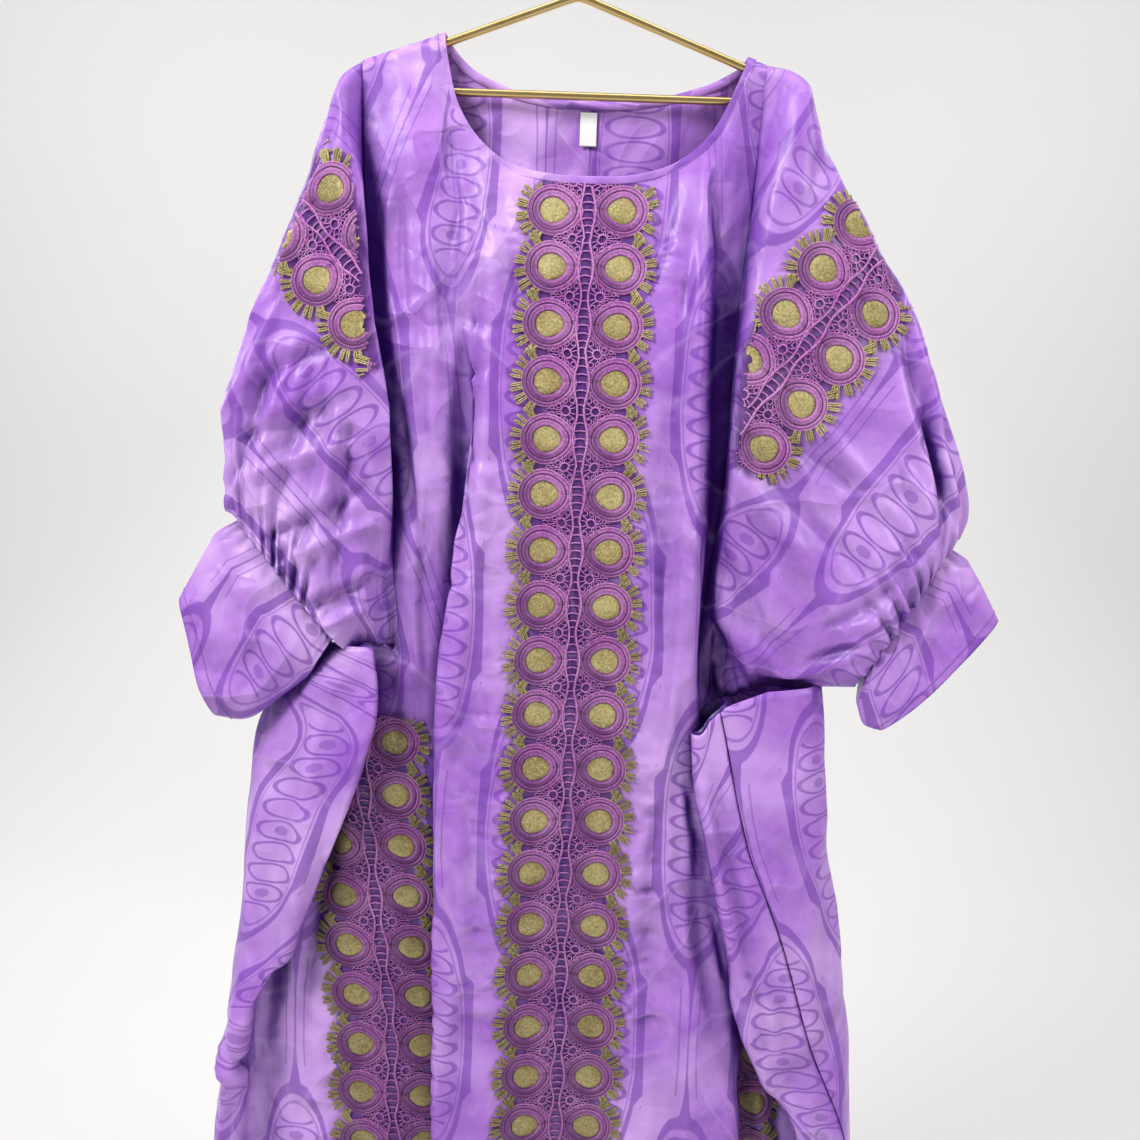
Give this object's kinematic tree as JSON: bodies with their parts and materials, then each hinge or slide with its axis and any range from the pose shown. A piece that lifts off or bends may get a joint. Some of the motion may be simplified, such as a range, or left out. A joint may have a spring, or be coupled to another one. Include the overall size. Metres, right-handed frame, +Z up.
{
  "type": "grand boubou robe on a wire hanger",
  "caption": "Wide flowing grand boubou robe in glazed damask with guipure lace bands and fringes, hung by its neck on a metal hanger.",
  "frame": {"origin": "the inside top of the hanger's hook, where a rail bears on it", "axes": "+Z up along the garment, +Y towards the garment's back, +X towards the sleeve on the viewer's right"},
  "size_m": [0.836, 0.113, 1.6045],
  "materials": {
    "bazin": "glazed cotton damask",
    "guipure_lace": "satin-stitched guipure lace",
    "metallic_yarn": "gold metallic yarn",
    "woven_label": "white satin tape",
    "satin_gold_metal": "satin gold plating"
  },
  "bodies": {
    "root": {"front": "bazin", "back_left": "bazin", "back_right": "bazin", "sleeve_left": "bazin", "sleeve_right": "bazin", "cuff_left": "bazin", "cuff_right": "bazin", "neck_binding": "bazin", "lace_center": "guipure_lace", "lace_left_lower": "guipure_lace", "lace_right_lower": "guipure_lace", "fringe_center_left": "metallic_yarn", "fringe_center_right": "metallic_yarn", "fringe_left_lower_left": "metallic_yarn", "fringe_left_lower_right": "metallic_yarn", "fringe_right_lower_right": "metallic_yarn", "neck_label": "woven_label", "hanger": "satin_gold_metal", "hook": "satin_gold_metal"}
  },
  "joints": []
}
